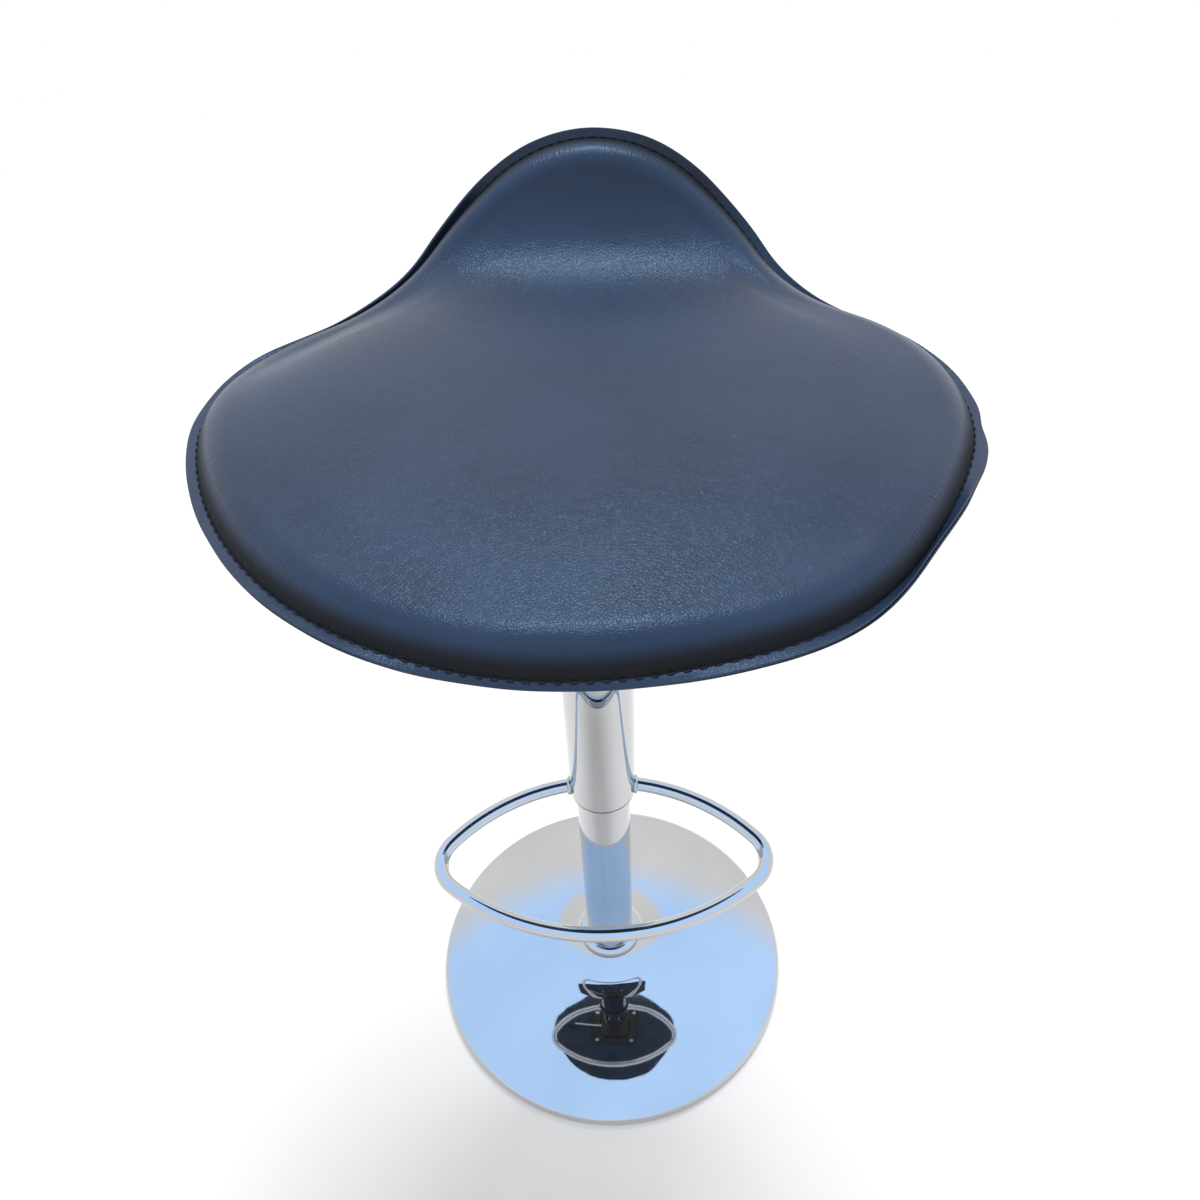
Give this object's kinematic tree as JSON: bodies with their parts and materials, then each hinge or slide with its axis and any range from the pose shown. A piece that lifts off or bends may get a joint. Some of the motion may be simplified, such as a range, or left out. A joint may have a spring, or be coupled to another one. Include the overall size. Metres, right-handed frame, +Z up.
{
  "type": "bar stool",
  "caption": "Swivelling height-adjustable bar stool with a sewn saddle seat, a telescoping chrome column, a footrest loop and a round trumpet base.",
  "frame": {"origin": "centre of the base on the floor, under the column's axis", "axes": "+Z up along the column, the sitter faces -Y, +X is to the sitter's left"},
  "size_m": [0.472, 0.4421, 0.8411],
  "materials": {
    "chrome_base": "polished chrome plate on spun steel",
    "chrome_trim": "polished chrome plate",
    "chrome_tube": "polished chrome plate on drawn tube",
    "weld_metal": "chrome plate over a weld bead",
    "black_steel": "satin black powder coat",
    "bright_steel": "ground steel",
    "zinc": "bright zinc plate",
    "lever_steel": "chrome plate",
    "floor_rubber": "matt black rubber",
    "nylon": "black nylon",
    "knob_plastic": "satin black plastic",
    "foam": "moulded foam",
    "plywood": "moulded plywood",
    "black_leather": "black grained leather with a soft sheen"
  },
  "bodies": {
    "base": {"base_dome": "chrome_base", "base_plate": "black_steel", "floor_ring": "floor_rubber", "base_hub": "black_steel", "column_collar": "chrome_trim", "column_tube": "chrome_tube", "guide_bush": "nylon", "bearing_cushion": "floor_rubber", "bearing_race_lower": "bright_steel"},
    "rod": {"piston_rod": "bright_steel", "piston_head": "bright_steel", "bearing_race_upper": "bright_steel", "bearing_balls": "bright_steel", "bearing_cage": "nylon", "retaining_clip": "bright_steel"},
    "seat": {"pressure_cylinder": "black_steel", "cylinder_gland": "bright_steel", "sleeve_tube": "chrome_tube", "sleeve_hub": "black_steel", "sleeve_guide": "nylon", "footrest_bar": "chrome_tube", "footrest_welds": "weld_metal", "seat_pan": "black_steel", "pan_socket": "black_steel", "seat_bolts": "zinc", "seat_washers": "zinc", "seat_tnuts": "zinc", "lever_bracket": "black_steel", "lever_pin": "zinc", "seat_foam": "foam", "seat_cover_top": "black_leather", "seat_shell": "plywood", "seat_cover_bottom": "black_leather"},
    "lever": {"lever_rod": "lever_steel", "lever_knob": "knob_plastic"},
    "valve": {"valve_pin": "bright_steel"}
  },
  "joints": [
    {"name": "swivel", "type": "hinge", "parent": "base", "child": "rod", "pos_m": [0, 0, 0], "axis": [0, 0, 1], "continuous": true},
    {"name": "lift", "type": "slide", "parent": "rod", "child": "seat", "axis": [0, 0, 1], "range_m": [-0.14, 0.08]},
    {"name": "lever_pull", "type": "hinge", "parent": "seat", "child": "lever", "pos_m": [-0.036, 0, 0.7174], "axis": [0, 1, 0], "range_deg": [0, 5], "stiffness_Nm_per_rad": 8, "springref_deg": -2.86},
    {"name": "valve_press", "type": "slide", "parent": "seat", "child": "valve", "axis": [0, 0, -1], "range_m": [0, 0.0032]}
  ],
  "couplings": [
    {"joint": "valve_press", "follows": "lever_pull", "m_per_rad": 0.036}
  ]
}
